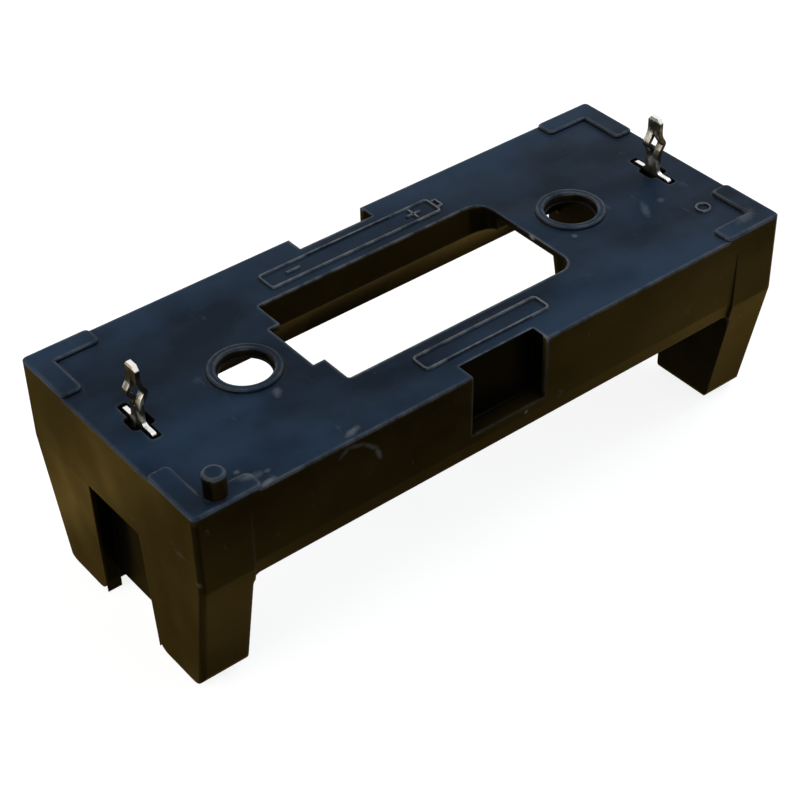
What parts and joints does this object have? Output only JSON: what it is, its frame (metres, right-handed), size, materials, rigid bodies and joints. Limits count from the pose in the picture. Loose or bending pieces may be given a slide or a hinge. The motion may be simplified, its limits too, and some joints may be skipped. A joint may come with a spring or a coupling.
{
  "type": "pcb battery holder",
  "caption": "Black moulded holder for a short cylindrical lithium cell, lying board side up: corner horns, side rails, window, screw holes, locating peg, leaf contacts and solder pins.",
  "frame": {"origin": "middle of the rectangle under the part, in the plane of the four horn tips it stands on", "axes": "+X along the cell axis toward the end without the locating peg, +Y across the width away from the locating peg, +Z from the horn tips toward the board face and the solder pins"},
  "size_m": [0.0494, 0.02, 0.0204],
  "materials": {
    "black_plastic": "satin moulded thermoplastic",
    "nickel": "nickel plated spring sheet"
  },
  "bodies": {
    "root": {"housing": "black_plastic", "positive_contact": "nickel", "negative_contact": "nickel"}
  },
  "joints": []
}
